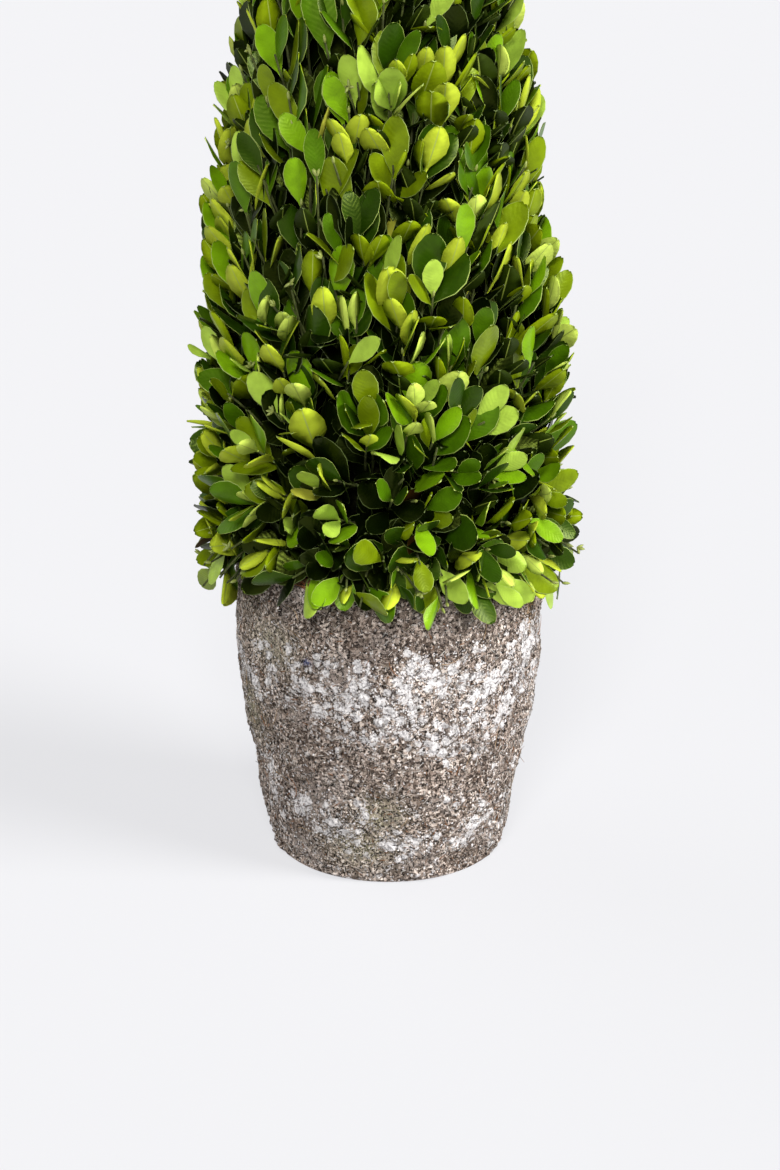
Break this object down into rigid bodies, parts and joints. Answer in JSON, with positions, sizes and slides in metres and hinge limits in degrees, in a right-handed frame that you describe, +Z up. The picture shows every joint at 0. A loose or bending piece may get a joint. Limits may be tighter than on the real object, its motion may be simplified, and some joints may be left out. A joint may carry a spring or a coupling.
{
  "type": "boxwood cone topiary in pot",
  "caption": "Clipped boxwood cone of dense small leaves on a short hidden stem, standing in a round weathered fibre pot that swells to its shoulder.",
  "frame": {"origin": "centre of the pot's flat underside", "axes": "+Z up along the plant, -Y towards the pictured front"},
  "size_m": [0.1677, 0.1648, 0.6066],
  "materials": {
    "pot_pulp": "matte",
    "fibre": "matte",
    "bark": "matte",
    "foliage": "satin"
  },
  "bodies": {
    "root": {"pot": "pot_pulp", "fibre_fill": "fibre", "stem": "bark", "foliage_lower_tier": "foliage", "foliage_middle_tier": "foliage", "foliage_top_tier": "foliage"}
  },
  "joints": []
}
